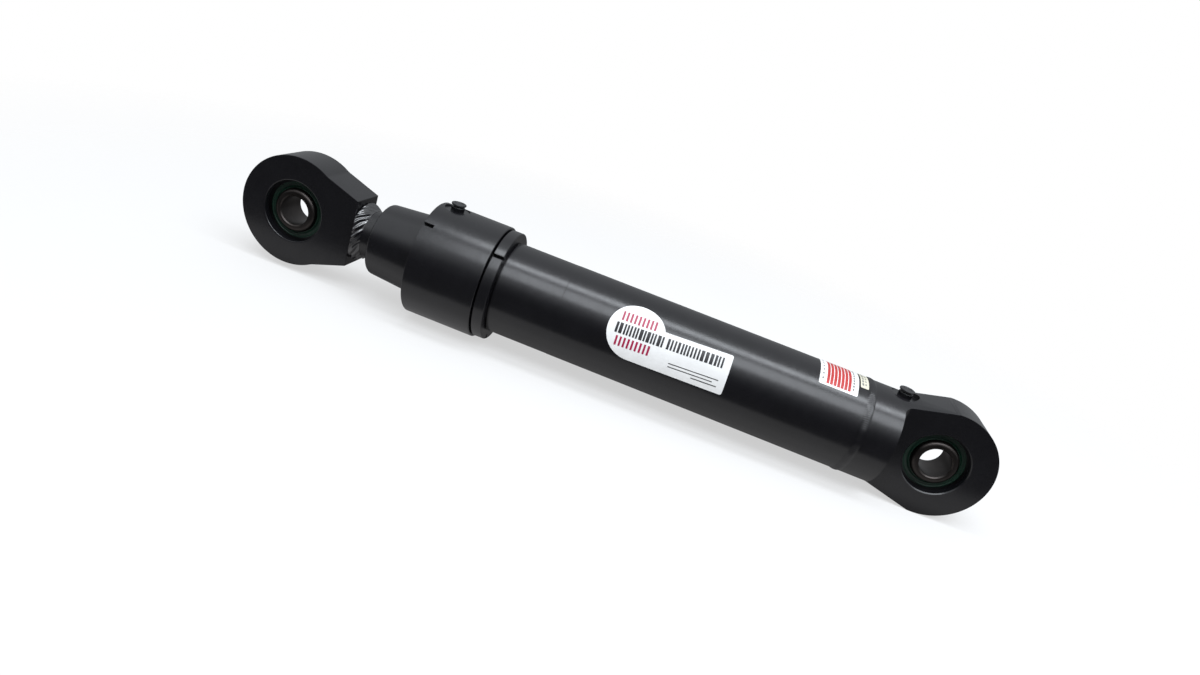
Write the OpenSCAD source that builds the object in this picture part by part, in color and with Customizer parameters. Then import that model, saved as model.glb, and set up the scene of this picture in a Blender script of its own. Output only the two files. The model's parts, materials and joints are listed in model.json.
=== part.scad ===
// Welded-eye, double-acting hydraulic cylinder, shown fully retracted.
// X runs along the cylinder (rod end towards -X), Y along the pins, Z up.
// The origin is the centre of the base eye's pin bore.
// A turned profile lists [position along the axis, radius] points.

/* [Overall] */
// Distance between the two pin centres when retracted
closed_length = 680; // [675:1:685]
// Travel of the rod from retracted to extended
stroke = 320; // [200:1:320]

/* [Barrel] */
// Outside diameter of the barrel tube
barrel_od = 95; // [94:0.5:97]
// Bore of the barrel tube
barrel_bore = 80; // [76:1:80]

/* [Eyes] */
// Outside radius of the base eye
base_eye_r = 55; // [53:0.5:56]
// Outside radius of the rod eye
rod_eye_r = 56; // [55:0.5:58]
// Thickness of the base eye across its faces
base_eye_t = 42; // [38:1:44]
// Thickness of the rod eye across its faces
rod_eye_t = 43; // [38:1:44]
// Bevel on the mouths of the eye bores
eye_bevel = 1; // [0.5:0.5:2.5]

/* [Bearings] */
// Diameter of the pin that each eye takes
pin_d = 30; // [25:1:32]
// Outside diameter of the bearing race
race_od = 62; // [62:1:64]
// Width of the bearing race
race_w = 16; // [14:1:16]
// Length of the inner ring along the pin
bushing_l = 37; // [36:0.5:38]
// Radius of the spherical running surface
sphere_r = 25.5; // [25:0.1:25.5]

/* [Head] */
// Outside diameter of the head's collar
collar_od = 118; // [116:1:122]
// Outside diameter of the lock ring
lock_ring_od = 114; // [110:1:116]
// Diameter of the nose at its front edge
nose_front_d = 75; // [73:1:77]
// Diameter of the nose where it meets the collar
nose_back_d = 84; // [80:1:88]
// Width of the spanner slots
slot_w = 4; // [3:0.5:6]

/* [Rod and piston] */
// Diameter of the piston rod
rod_d = 50; // [45:1:50]
// Diameter of the rod's spigot inside the piston
spigot_d = 36; // [32:1:36]

/* [Ports] */
// Core diameter of the port threads
port_d = 13; // [12:0.5:13]
// Diameter of the flat spot around each port
spot_d = 26; // [24:1:26]
// Diameter of the shipping plugs' heads
plug_head_d = 15; // [14:0.5:18]

/* [Labels] */
// Thickness of the labels
label_t = 0.2; // [0.1:0.05:0.3]

/* [Hidden] */
$fn = 128;
run_gap = 0.05;          // radial running clearance of moving fits
slack = 0.05;            // axial play of a ring in its groove
bite = 1;                // how far a cutter overruns the metal it cuts

barrel_r = barrel_od / 2;
bore_r = barrel_bore / 2;
rod_r = rod_d / 2;
spigot_r = spigot_d / 2;
pin_r = pin_d / 2;
race_r = race_od / 2;
collar_r = collar_od / 2;
rod_pin_x = -closed_length;

// Base cap, along X
cap_face = -92;          // bottom of the oil chamber
cap_weld = -83;          // middle of the barrel weld
weld_half = 4;           // half width of the weld at the surface
weld_root_half = 1.5;    // half width of the weld at its root
weld_root_r = bore_r + 1;
weld_crown = 0.7;        // height of the weld above the barrel
flat_start = -50;        // shoulder where the eye's flats begin
flat_fillet = 6;         // radius in the corner of that shoulder
flare = 0.24;            // slope of the body's flare past the shoulder
base_lean = 7.5;         // slope of the body's top and underside near the eye
oil_hole_r = 6;
oil_hole_end = -43;
base_port_x = -50;
base_spot_z = barrel_r - 1.5;
base_port_depth = 16;
port_drill_r = 5;        // oil way below the port's thread

// Head, along X
nose_front = -590;
collar_front = -538;
collar_back = -465;
lock_front = -464.2;
lock_back = -453;
thread_end = -452;       // end of the tube's thread
relief_r = barrel_r - 2.5; // run-out groove behind the thread
tube_end = -508;         // end of the tube inside the head
gland_end = -491.5;      // end of the head's spigot inside the tube
thread_r = barrel_r - 1;
turned_r = barrel_r - 0.15;
turned_end = -388;       // end of the tube's lightly turned length
annulus_r = rod_r + 6;   // oil space around the rod
annulus_front = -533;
head_port_x = -521;
head_spot_z = sqrt(pow(collar_r, 2) - pow(spot_d / 2, 2)) - 0.3;
head_port_depth = 14;
slot_len = 11;           // how far a spanner slot runs into the collar
slot_depth = 4;
collar_slot_a = -49.5;   // first slot of the collar, from the front
lock_slot_a = -46;       // first slot of the lock ring
nose_round = 4;
seal_r = rod_r + 5;      // bottom of the rod seals' grooves
land_r = rod_r + 0.4;    // lands between the grooves
wiper_span = [-590, -583];
u_cup_span = [-579, -569];
buffer_span = [-566, -560];
guide_span = [-557, annulus_front];
guide_r = rod_r + 3;
head_seal_span = [-500.5, -494.5];
head_seal_r = bore_r - 3.5;

// Rod and piston, along X
rod_eye_end = 66;        // from the rod pin to the eye's end face
rod_weld_len = 12;
rod_weld_r = 31;
rod_bevel = 8;
end_half = 35;           // half height of the eye's end face
eye_lean = 19;           // slope of the rod eye's flanks
flank_fillet = 20;       // radius between the eye and its flanks
piston_front = gland_end + 0.5 + stroke;
piston_back = piston_front + 48;
nut_h = 29;
nut_flats = 55;
screw_d = 8;             // set screw that locks the nut
rod_tip = piston_back + nut_h;
piston_r = bore_r - 0.5;
wear_groove_r = bore_r - 3.5;
wear_front = [piston_front + 5, piston_front + 15];
seal_groove = [piston_front + 20, piston_front + 28];
wear_back = [piston_front + 33, piston_front + 43];
seal_groove_r = bore_r - 6.5;
o_ring_x = piston_back - 6;
o_ring_wire = 2.6;
o_ring_room = 1.4;       // width of the O-ring's groove, in wires
piston_seal_inner = bore_r - 3.2;

// Eye bores, along Y from the centre of the eye
seal_in = race_w / 2;
seal_out = seal_in + 4;
snap_out = seal_out + 1.3;
snap_w = 1.2;
snap_gap = 12;           // opening between the snap ring's ends
snap_groove_r = race_r + 1.5;
snap_outer_r = race_r + 1.3;
snap_inner_r = race_r - 2.2;
shoulder_r = 22.4;
shoulder_round = 4.5;    // radius on the outside of the inner ring's ends
bore_edge = 1;

// Labels: middle or corner along X, and angle up from the front
main_label_x = -310;
main_label_a = 26.5;
main_label_tilt = 2.5;   // the label was laid on slightly askew
main_disc_r = 28;
main_panel = [94, 40];
main_panel_low = -30;    // lower edge of the panel, below the disc's centre
top_label_a = 88;
striped_label_x = -116;
striped_label = [38, 56];
small_label_x = -91.5;
small_label = [8.5, 30];

// Shipping plugs, above the spot face
plug_body = 4.2;
plug_neck = 1.6;
plug_head = 1.7;
plug_shank = 10;

// ---- Shared shapes ----

// Solid turned about the X axis.
module turned(profile)
  rotate([0, 90, 0])
    rotate_extrude()
      polygon([for (p = profile) [p[1], p[0]]]);

// Solid turned about the Y axis.
module turned_y(profile)
  rotate([-90, 0, 0])
    rotate_extrude()
      polygon([for (p = profile) [p[1], p[0]]]);

// Ring of rectangular section about the X axis.
module ring(span, inner, outer)
  turned([[span[0], inner], [span[0], outer], [span[1], outer], [span[1], inner]]);

// Round bar along the X axis.
module bar(span, radius)
  translate([span[0], 0, 0])
    rotate([0, 90, 0])
      cylinder(r = radius, h = span[1] - span[0]);

// Round bar along the Y axis, centred on y = 0.
module pin_bar(radius, length)
  rotate([90, 0, 0])
    cylinder(r = radius, h = length, center = true);

// Torus about the X axis.
module wire_ring(x, middle_r, wire_d)
  translate([x, 0, 0])
    rotate([0, 90, 0])
      rotate_extrude()
        translate([middle_r, 0])
          circle(d = wire_d, $fn = 32);

// Points of an arc from angle a to angle b, in an [x, radius] profile.
function arc(centre, radius, a, b, steps = 6) =
  [for (i = [0:steps])
    let (t = a + (b - a) * i / steps)
    [centre[0] + radius * cos(t), centre[1] + radius * sin(t)]];

// The same span, shortened by the play at both ends.
function loose(span) = [span[0] + slack, span[1] - slack];

// Port drilled down from the top at x, with its flat spot.
module port_cut(x, spot_z, top_z, thread_floor, floor_z) {
  translate([x, 0, spot_z])
    cylinder(d = spot_d, h = top_z - spot_z + bite);
  translate([x, 0, thread_floor])
    cylinder(d = port_d, h = spot_z - thread_floor + bite);
  translate([x, 0, floor_z])
    cylinder(r = port_drill_r, h = thread_floor - floor_z + bite);
}

// Slots for a hook spanner, a third of a turn apart.
module spanner_slots(span, outer, first)
  for (i = [0:2])
    rotate([first + 120 * i, 0, 0])
      translate([span[0], -outer - bite, -slot_w / 2])
        cube([span[1] - span[0], slot_depth + bite, slot_w]);

// Everything machined out of an eye of the given thickness.
module eye_cut(thickness) {
  half = thickness / 2;
  pin_bar(race_r, thickness + 2 * bite);
  for (side = [-1, 1])
    mirrored(side) {
      turned_y([
        [seal_out, 0], [seal_out, snap_groove_r], [snap_out, snap_groove_r], [snap_out, 0]
      ]);
      turned_y([
        [half - eye_bevel, 0], [half - eye_bevel, race_r],
        [half + bite, race_r + eye_bevel + bite], [half + bite, 0]
      ]);
    }
}

// Front (-1) or rear (1) copy of what is drawn on the +Y side.
module mirrored(side)
  mirror([0, side < 0 ? 1 : 0, 0])
    children();

// Points of a ball's surface from -half to half along its axis.
function ball(radius, half, steps = 12) =
  [for (i = [0:steps])
    let (y = half * (2 * i / steps - 1))
    [y, sqrt(pow(radius, 2) - pow(y, 2))]];

// Outer race with its spherical bore.
module race()
  turned_y(concat(
    ball(sphere_r + run_gap, race_w / 2),
    [[race_w / 2, race_r], [-race_w / 2, race_r]]
  ));

// Inner ring: a ball with two shoulders and the pin bore.
module bushing() {
  half = bushing_l / 2;
  ball_half = sqrt(pow(sphere_r, 2) - pow(shoulder_r, 2));
  round_at = [half - shoulder_round, shoulder_r - shoulder_round];
  turned_y(concat(
    [[-half, pin_r + bore_edge]],
    arc([-round_at[0], round_at[1]], shoulder_round, 180, 90),
    ball(sphere_r, ball_half, 18),
    arc(round_at, shoulder_round, 90, 0),
    [
      [half, pin_r + bore_edge],
      [half - bore_edge, pin_r],
      [-half + bore_edge, pin_r]
    ]
  ));
}

// Dust seal: a body against the race and a lip on the inner ring.
module dust_seal(side)
  mirrored(side)
    turned_y([
      [seal_in, race_r],
      [seal_in, sphere_r - 0.7],
      [seal_out - 0.4, shoulder_r + 0.9],
      [seal_out + 0.3, shoulder_r + run_gap],
      [seal_out + 0.9, shoulder_r + run_gap],
      [seal_out + 0.9, shoulder_r + 0.8],
      [seal_out - 0.6, shoulder_r + 2.4],
      [seal_out - 0.6, race_r - 3.6],
      [seal_out, race_r - 3],
      [seal_out, race_r]
    ]);

// Open wire ring that holds a seal and the race in the eye.
module snap_ring(side) {
  near = seal_out + slack;
  mirrored(side)
    difference() {
      turned_y([
        [near, snap_inner_r], [near, snap_outer_r],
        [near + snap_w, snap_outer_r], [near + snap_w, snap_inner_r]
      ]);
      translate([0, near, race_r])
        cube([snap_gap, 4 * snap_w, snap_gap], center = true);
    }
}

// Shipping plug standing in a port whose spot face is at spot_z.
module port_plug(x, spot_z)
  translate([x, 0, spot_z]) {
    top = plug_body + plug_neck + plug_head;
    translate([0, 0, -plug_shank])
      cylinder(d = port_d, h = plug_shank);
    rotate_extrude()
      polygon([
        [0, 0], [plug_head_d / 2 - 0.75, 0],
        [plug_head_d / 2 - 0.75, plug_body], [plug_head_d / 2 - 2, plug_body],
        [plug_head_d / 2 - 2, plug_body + plug_neck], [plug_head_d / 2, plug_body + plug_neck],
        [plug_head_d / 2, top - 0.8], [plug_head_d / 2 - 0.8, top], [0, top]
      ]);
  }

// Thin sheet of the drawn outline laid on the barrel; the outline's
// x runs along the barrel and its y runs up around it from the angle given.
module sticker(x, angle)
  intersection() {
    translate([x, 0, 0])
      rotate([-angle, 0, 0])
        rotate([90, 0, 0])
          linear_extrude(height = barrel_r + bite)
            children();
    difference() {
      bar([turned_end, cap_weld - weld_half], barrel_r + label_t);
      bar([turned_end - bite, cap_weld], barrel_r);
    }
  }

// ---- Barrel ----

module barrel_tube()
  color("#1d1f23")
    turned([
      [tube_end, bore_r],
      [tube_end, thread_r - 1],
      [tube_end + 1, thread_r],
      [thread_end - 2, thread_r],
      [thread_end - 1.5, relief_r],
      [thread_end, relief_r],
      [thread_end + 0.5, turned_r],
      [turned_end, turned_r],
      [turned_end + 0.5, barrel_r],
      [cap_weld - weld_half, barrel_r],
      [cap_weld - weld_root_half, weld_root_r],
      [cap_weld - weld_root_half, bore_r]
    ]);

module base_weld()
  color("#24262a")
    turned(concat(
      [[cap_weld + weld_root_half, weld_root_r], [cap_weld - weld_root_half, weld_root_r]],
      [for (i = [0:8])
        let (t = -1 + i / 4)
        [cap_weld + weld_half * t, barrel_r + weld_crown * (1 - t * t)]]
    ));

// Outline of the base eye seen from the side: the body runs tangentially into the round end.
module base_eye_side() {
  wide = 2 * barrel_r;
  near_r = base_eye_r - 0.02;
  tangent = [-near_r * sin(base_lean), near_r * cos(base_lean)];
  low = tangent[1] - (tangent[0] - flat_start) * tan(base_lean);
  union() {
    pin_bar(base_eye_r, 4 * barrel_r);
    rotate([90, 0, 0])
      linear_extrude(height = 4 * barrel_r, center = true)
        polygon([
          [cap_face - bite, -wide], [cap_face - bite, wide], [flat_start, wide],
          [flat_start, low], tangent, [tangent[0], -tangent[1]],
          [flat_start, -low], [flat_start, -wide]
        ]);
  }
}

// Outline seen from above: the round body narrows to the eye's two flats.
module base_eye_plan() {
  half = base_eye_t / 2;
  wide = 2 * barrel_r;
  side = concat(
    [[flat_start, wide], [flat_start, half + flat_fillet]],
    arc([flat_start + flat_fillet, half + flat_fillet], flat_fillet, 180, 270),
    [[base_eye_r + bite, half]]
  );
  linear_extrude(height = 4 * barrel_r, center = true)
    polygon(concat(
      [[cap_face - bite, -wide], [cap_face - bite, wide]],
      side,
      [for (i = [len(side) - 1:-1:0]) [side[i][0], -side[i][1]]]
    ));
}

module base_cap() {
  far = base_eye_r + bite;
  color("#1b1c20")
    difference() {
      intersection() {
        turned([
          [cap_face, 0],
          [cap_face, bore_r],
          [cap_weld + weld_root_half, bore_r],
          [cap_weld + weld_root_half, weld_root_r],
          [cap_weld + weld_half, barrel_r],
          [flat_start, barrel_r],
          [far, barrel_r + flare * (far - flat_start)],
          [far, 0]
        ]);
        base_eye_side();
        base_eye_plan();
      }
      eye_cut(base_eye_t);
      bar([cap_face - bite, oil_hole_end], oil_hole_r);
      port_cut(base_port_x, base_spot_z, base_eye_r, base_spot_z - base_port_depth, 0);
    }
}

// ---- Head ----

module head() {
  front_r = nose_front_d / 2;
  back_r = nose_back_d / 2;
  color("#1d1f23")
    difference() {
      turned(concat(
        [[nose_front, seal_r]],
        arc([nose_front + nose_round, front_r - nose_round], nose_round, 180, 90),
        [
          [collar_front, back_r],
          [collar_front, collar_r - 1],
          [collar_front + 1, collar_r],
          [collar_back - 0.6, collar_r],
          [collar_back, collar_r - 0.6],
          [collar_back, thread_r],
          [tube_end, thread_r],
          [tube_end, bore_r],
          [head_seal_span[0], bore_r],
          [head_seal_span[0], head_seal_r],
          [head_seal_span[1], head_seal_r],
          [head_seal_span[1], bore_r],
          [gland_end - 1, bore_r],
          [gland_end, bore_r - 1],
          [gland_end, annulus_r],
          [annulus_front, annulus_r],
          [annulus_front, guide_r],
          [guide_span[0], guide_r],
          [guide_span[0], land_r],
          [buffer_span[1], land_r],
          [buffer_span[1], seal_r],
          [buffer_span[0], seal_r],
          [buffer_span[0], land_r],
          [u_cup_span[1], land_r],
          [u_cup_span[1], seal_r],
          [u_cup_span[0], seal_r],
          [u_cup_span[0], land_r],
          [wiper_span[1], land_r],
          [wiper_span[1], seal_r]
        ]
      ));
      port_cut(head_port_x, head_spot_z, collar_r, head_spot_z - head_port_depth, rod_r);
      spanner_slots([collar_front - bite, collar_front + slot_len], collar_r, collar_slot_a);
    }
}

module lock_ring()
  color("#212327")
    difference() {
      turned([
        [lock_front, thread_r],
        [lock_front, lock_ring_od / 2 - 0.6],
        [lock_front + 0.6, lock_ring_od / 2],
        [lock_back - 0.8, lock_ring_od / 2],
        [lock_back, lock_ring_od / 2 - 0.8],
        [lock_back, thread_r]
      ]);
      spanner_slots([lock_front - bite, lock_back + bite], lock_ring_od / 2, lock_slot_a);
    }

module head_o_ring()
  color("#151515")
    wire_ring(head_seal_span[1] - 1.9, (head_seal_r + bore_r) / 2, bore_r - head_seal_r);

module head_backup_ring()
  color("#e8e2d0")
    ring([head_seal_span[0], head_seal_span[0] + 2], head_seal_r, bore_r);

module rod_wiper()
  color("#1a1a1a")
    turned([
      [wiper_span[0], seal_r],
      [wiper_span[1], seal_r],
      [wiper_span[1], rod_r + 1.5],
      [wiper_span[1] - 3, rod_r + 1.5],
      [wiper_span[0] + 1, rod_r + run_gap],
      [wiper_span[0] - 1.2, rod_r + run_gap],
      [wiper_span[0] - 1.2, rod_r + 1],
      [wiper_span[0], rod_r + 2.2]
    ]);

// Lipped seal, open towards the oil.
module lip_seal(span, notch)
  turned([
    [span[0], seal_r],
    [span[1], seal_r],
    [span[1], seal_r - 1.4],
    [span[1] - notch, (seal_r + rod_r) / 2],
    [span[1], rod_r + 1.4],
    [span[1] - 0.6, rod_r + run_gap],
    [span[1] - 3, rod_r + run_gap],
    [span[1] - 3.4, rod_r + 0.4],
    [span[0], rod_r + 0.4]
  ]);

module rod_u_cup()
  color("#2b5fa8")
    lip_seal(loose(u_cup_span), 5);

module rod_buffer_seal()
  color("#c8a23c")
    lip_seal(loose(buffer_span), 2);

module rod_guide_bush()
  color("#8a6a3a")
    ring([guide_span[0], guide_span[1] - 0.5], rod_r + run_gap, guide_r);

module head_port_plug()
  color("#141518")
    port_plug(head_port_x, head_spot_z);

module base_port_plug()
  color("#141518")
    port_plug(base_port_x, base_spot_z);

// ---- Labels ----

module label_main()
  color("#f2f2ef")
    sticker(main_label_x, main_label_a)
      rotate(main_label_tilt) {
        circle(r = main_disc_r);
        translate([0, main_panel_low])
          square(main_panel);
      }

module label_striped()
  color("#efe9e6")
    sticker(striped_label_x, top_label_a)
      square(striped_label, center = true);

module label_small()
  color("#e6e3d2")
    sticker(small_label_x, top_label_a)
      square(small_label, center = true);

// ---- Base eye bearing ----

module base_race()
  color("#4a4d50")
    race();

module base_bushing()
  color("#6b625a")
    bushing();

module base_dust_seal_front()
  color("#1f5a48")
    dust_seal(-1);

module base_dust_seal_rear()
  color("#1f5a48")
    dust_seal(1);

module base_snap_ring_front()
  color("#2a2a2c")
    snap_ring(-1);

module base_snap_ring_rear()
  color("#2a2a2c")
    snap_ring(1);

// ---- Rod ----

module rod() {
  eye_end = rod_pin_x + rod_eye_end;
  color("#b9bcc0")
    turned([
      [eye_end, 0],
      [eye_end, rod_r - rod_bevel],
      [eye_end + rod_bevel, rod_r],
      [piston_front, rod_r],
      [piston_front, spigot_r],
      [rod_tip - 1.5, spigot_r],
      [rod_tip, spigot_r - 1.5],
      [rod_tip, 0]
    ]);
}

// The weld fills the bevel and narrows to the eye's thickness.
module rod_eye_weld() {
  eye_end = rod_pin_x + rod_eye_end;
  half = rod_eye_t / 2;
  spread = rod_weld_r - half + 4;
  color("#2c2e32")
    intersection() {
      turned([
        [eye_end, rod_r - rod_bevel],
        [eye_end, rod_weld_r],
        [eye_end + 3, rod_weld_r - 1.6],
        [eye_end + rod_weld_len, rod_r + 0.3],
        [eye_end + rod_weld_len, rod_r],
        [eye_end + rod_bevel, rod_r]
      ]);
      linear_extrude(height = 4 * rod_r, center = true)
        polygon([
          [eye_end, -half],
          [eye_end, half],
          [eye_end + 7, half + spread],
          [eye_end + 4 * rod_weld_len, half + spread],
          [eye_end + 4 * rod_weld_len, -half - spread],
          [eye_end + 7, -half - spread]
        ]);
    }
}

// Round eye with a neck that narrows to its square end face.
module rod_eye() {
  normal = [sin(eye_lean), cos(eye_lean)];
  along = [cos(eye_lean), -sin(eye_lean)];
  // Middle of the fillet: off the flank by its radius, off the eye by the same.
  off = normal * [rod_eye_end, end_half] + flank_fillet;
  run = sqrt(pow(rod_eye_r + flank_fillet, 2) - pow(off, 2));
  middle = off * normal + run * along;
  first = atan2(-middle[1], -middle[0]);
  near_r = rod_eye_r - 0.02;
  upper = concat(
    [near_r * middle / norm(middle)],
    [for (i = [1:6])
      let (t = first + (270 - eye_lean - 360 - first) * i / 6)
      middle + flank_fillet * [cos(t), sin(t)]],
    [[rod_eye_end, end_half]]
  );
  color("#1b1c20")
    translate([rod_pin_x, 0, 0])
      difference() {
        union() {
          pin_bar(rod_eye_r, rod_eye_t);
          rotate([90, 0, 0])
            linear_extrude(height = rod_eye_t, center = true)
              polygon(concat(
                upper,
                [for (i = [len(upper) - 1:-1:0]) [upper[i][0], -upper[i][1]]]
              ));
        }
        eye_cut(rod_eye_t);
      }
}

module rod_eye_race()
  color("#4a4d50")
    translate([rod_pin_x, 0, 0])
      race();

module rod_eye_bushing()
  color("#6b625a")
    translate([rod_pin_x, 0, 0])
      bushing();

module rod_eye_dust_seal_front()
  color("#1f5a48")
    translate([rod_pin_x, 0, 0])
      dust_seal(-1);

module rod_eye_dust_seal_rear()
  color("#1f5a48")
    translate([rod_pin_x, 0, 0])
      dust_seal(1);

module rod_eye_snap_ring_front()
  color("#2a2a2c")
    translate([rod_pin_x, 0, 0])
      snap_ring(-1);

module rod_eye_snap_ring_rear()
  color("#2a2a2c")
    translate([rod_pin_x, 0, 0])
      snap_ring(1);

// ---- Piston ----

module piston()
  color("#7f8286")
    difference() {
      ring([piston_front, piston_back], spigot_r, piston_r);
      ring(wear_front, wear_groove_r, bore_r);
      ring(seal_groove, seal_groove_r, bore_r);
      ring(wear_back, wear_groove_r, bore_r);
      ring(
        [o_ring_x - o_ring_room * o_ring_wire / 2, o_ring_x + o_ring_room * o_ring_wire / 2],
        spigot_r - bite, spigot_r + o_ring_wire
      );
    }

module piston_nut() {
  nut_middle = piston_back + nut_h / 2;
  color("#6f7276")
    difference() {
      translate([piston_back, 0, 0])
        rotate([0, 90, 0])
          cylinder(d = nut_flats / cos(30), h = nut_h, $fn = 6);
      bar([piston_back - bite, rod_tip + bite], spigot_r);
      translate([nut_middle, 0, 0])
        rotate([90, 0, 0])
          cylinder(d = screw_d, h = nut_flats);
    }
}

module nut_set_screw()
  color("#3a3b3d")
    translate([piston_back + nut_h / 2, -spigot_r - 0.2, 0])
      rotate([90, 0, 0])
        cylinder(d = screw_d, h = screw_d);

module piston_o_ring()
  color("#151515")
    wire_ring(o_ring_x, spigot_r + o_ring_wire / 2, o_ring_wire);

module piston_seal()
  color("#3c4a3c")
    ring(loose(seal_groove), piston_seal_inner, bore_r - run_gap);

module seal_energizer()
  color("#151515")
    wire_ring(
      (seal_groove[0] + seal_groove[1]) / 2,
      (seal_groove_r + run_gap + piston_seal_inner) / 2,
      piston_seal_inner - seal_groove_r - run_gap
    );

module wear_ring(span)
  color("#7a4a2a")
    ring(loose(span), wear_groove_r + run_gap, bore_r - run_gap);

module wear_ring_front() wear_ring(wear_front);
module wear_ring_rear() wear_ring(wear_back);

barrel_tube();
base_cap();
base_weld();
base_race();
base_bushing();
base_dust_seal_front();
base_dust_seal_rear();
base_snap_ring_front();
base_snap_ring_rear();
head();
lock_ring();
head_o_ring();
head_backup_ring();
rod_wiper();
rod_u_cup();
rod_buffer_seal();
rod_guide_bush();
head_port_plug();
base_port_plug();
label_main();
label_striped();
label_small();
rod();
rod_eye();
rod_eye_weld();
rod_eye_race();
rod_eye_bushing();
rod_eye_dust_seal_front();
rod_eye_dust_seal_rear();
rod_eye_snap_ring_front();
rod_eye_snap_ring_rear();
piston();
piston_nut();
nut_set_screw();
piston_o_ring();
piston_seal();
seal_energizer();
wear_ring_front();
wear_ring_rear();
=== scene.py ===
import json
import math
import random

import bmesh
import bpy
from mathutils import Matrix, Vector

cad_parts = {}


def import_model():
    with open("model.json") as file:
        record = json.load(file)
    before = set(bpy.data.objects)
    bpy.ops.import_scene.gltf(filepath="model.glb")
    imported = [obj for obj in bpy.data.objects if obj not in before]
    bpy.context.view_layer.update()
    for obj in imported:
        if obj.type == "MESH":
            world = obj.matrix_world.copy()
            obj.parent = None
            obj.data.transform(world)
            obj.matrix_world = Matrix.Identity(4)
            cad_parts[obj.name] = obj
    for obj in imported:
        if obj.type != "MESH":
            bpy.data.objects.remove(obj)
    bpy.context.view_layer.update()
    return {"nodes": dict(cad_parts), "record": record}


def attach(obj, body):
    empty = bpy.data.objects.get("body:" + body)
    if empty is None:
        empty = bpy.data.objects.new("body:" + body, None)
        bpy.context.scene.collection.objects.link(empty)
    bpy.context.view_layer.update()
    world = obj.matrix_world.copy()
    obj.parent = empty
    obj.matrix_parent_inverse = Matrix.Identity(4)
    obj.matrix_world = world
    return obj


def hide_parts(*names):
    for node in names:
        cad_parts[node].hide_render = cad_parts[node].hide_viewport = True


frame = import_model()

# Lengths below are in millimetres, in the CAD's frame, unless a name says otherwise.
MM = 0.001
BARREL_R = 47.5
BORE_R = 40.0
THREAD_R = 46.5
ROD_R = 25.0
BASE_EYE_R, BASE_EYE_HALF = 55.0, 21.0
ROD_EYE_R, ROD_EYE_HALF = 56.0, 21.5
COLLAR_R = 59.0
LOCK_R = 57.0
RACE_R = 31.0
BALL_R = 25.5
PIN_R = 15.0
ROD_PIN_X = -680.0
ROD_EYE_END = ROD_PIN_X + 66
HEAD_PORT_X, HEAD_SPOT_Z = -521.0, 57.25
BASE_PORT_X, BASE_SPOT_Z = -50.0, 46.0
# The floor falls towards the rod end, to touch the collar and the base eye.
FLOOR_SLOPE = 0.005 / 0.465
# Where the lights' middle is along the cylinder, in metres.
LIGHT_X = 0.24
PAINT_DARK = (0.0033, 0.0031, 0.0042)
PAINT_LIGHT = (0.0050, 0.0048, 0.0062)
# Low and high side of a label, above the barrel.
SHEET = (0.02, 0.2)


# ---- Meshes ----

def mesh_object(name, points, faces):
    """New object from points in millimetres, with its normals facing out."""
    mesh = bpy.data.meshes.new(name)
    mesh.from_pydata([[c * MM for c in p] for p in points], [], faces)
    work = bmesh.new()
    work.from_mesh(mesh)
    bmesh.ops.recalc_face_normals(work, faces=work.faces)
    work.to_mesh(mesh)
    work.free()
    obj = bpy.data.objects.new(name, mesh)
    bpy.context.scene.collection.objects.link(obj)
    return obj


def rounded(points, radius, steps=3):
    """Closed outline with each corner that is off the axis turned into a small arc."""
    out = []
    for i, point in enumerate(points):
        size = radius[i] if isinstance(radius, (list, tuple)) else radius
        here = Vector(point)
        to_last = Vector(points[i - 1]) - here
        to_next = Vector(points[(i + 1) % len(points)]) - here
        angle = to_last.angle(to_next)
        if size <= 0 or here.y < 1e-6 or angle > math.radians(176):
            out.append(tuple(here))
            continue
        back = size / math.tan(angle / 2)
        most = 0.45 * min(to_last.length, to_next.length)
        if back > most:
            back, size = most, most * math.tan(angle / 2)
        middle = here + (to_last.normalized() + to_next.normalized()).normalized() * (
            size / math.sin(angle / 2)
        )
        start = here + to_last.normalized() * back - middle
        end = here + to_next.normalized() * back - middle
        first = math.atan2(start.y, start.x)
        turn = (math.atan2(end.y, end.x) - first + math.pi) % (2 * math.pi) - math.pi
        for k in range(steps + 1):
            a = first + turn * k / steps
            out.append((middle.x + size * math.cos(a), middle.y + size * math.sin(a)))
    return out


def lathe(name, outline, axis="x", centre=(0, 0, 0), segments=160, shape=None):
    """Solid turned from a closed outline of (along, radius); shape may change each radius."""
    points, rings = [], []
    for along, radius in outline:
        if radius < 1e-6:
            rings.append([len(points)])
            points.append(turn_point(axis, centre, along, 0, 0))
            continue
        rings.append(list(range(len(points), len(points) + segments)))
        for s in range(segments):
            angle = 2 * math.pi * (s + 0.5) / segments
            r = shape(along, radius, angle) if shape else radius
            points.append(turn_point(axis, centre, along, r, angle))
    faces = []
    for i, ring in enumerate(rings):
        last = rings[i - 1]
        if len(ring) == 1 and len(last) == 1:
            continue
        for s in range(segments):
            t = (s + 1) % segments
            if len(ring) == 1:
                faces.append((ring[0], last[s], last[t]))
            elif len(last) == 1:
                faces.append((last[0], ring[s], ring[t]))
            else:
                faces.append((last[s], last[t], ring[t], ring[s]))
    return mesh_object(name, points, faces)


def turn_point(axis, centre, along, radius, angle):
    """A turned point; angle runs from the front (-Y), or from +X about Z and Y, upwards."""
    c, s = radius * math.cos(angle), radius * math.sin(angle)
    if axis == "x":
        return (centre[0] + along, centre[1] - c, centre[2] + s)
    if axis == "y":
        return (centre[0] + c, centre[1] + along, centre[2] + s)
    return (centre[0] + c, centre[1] + s, centre[2] + along)


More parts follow.
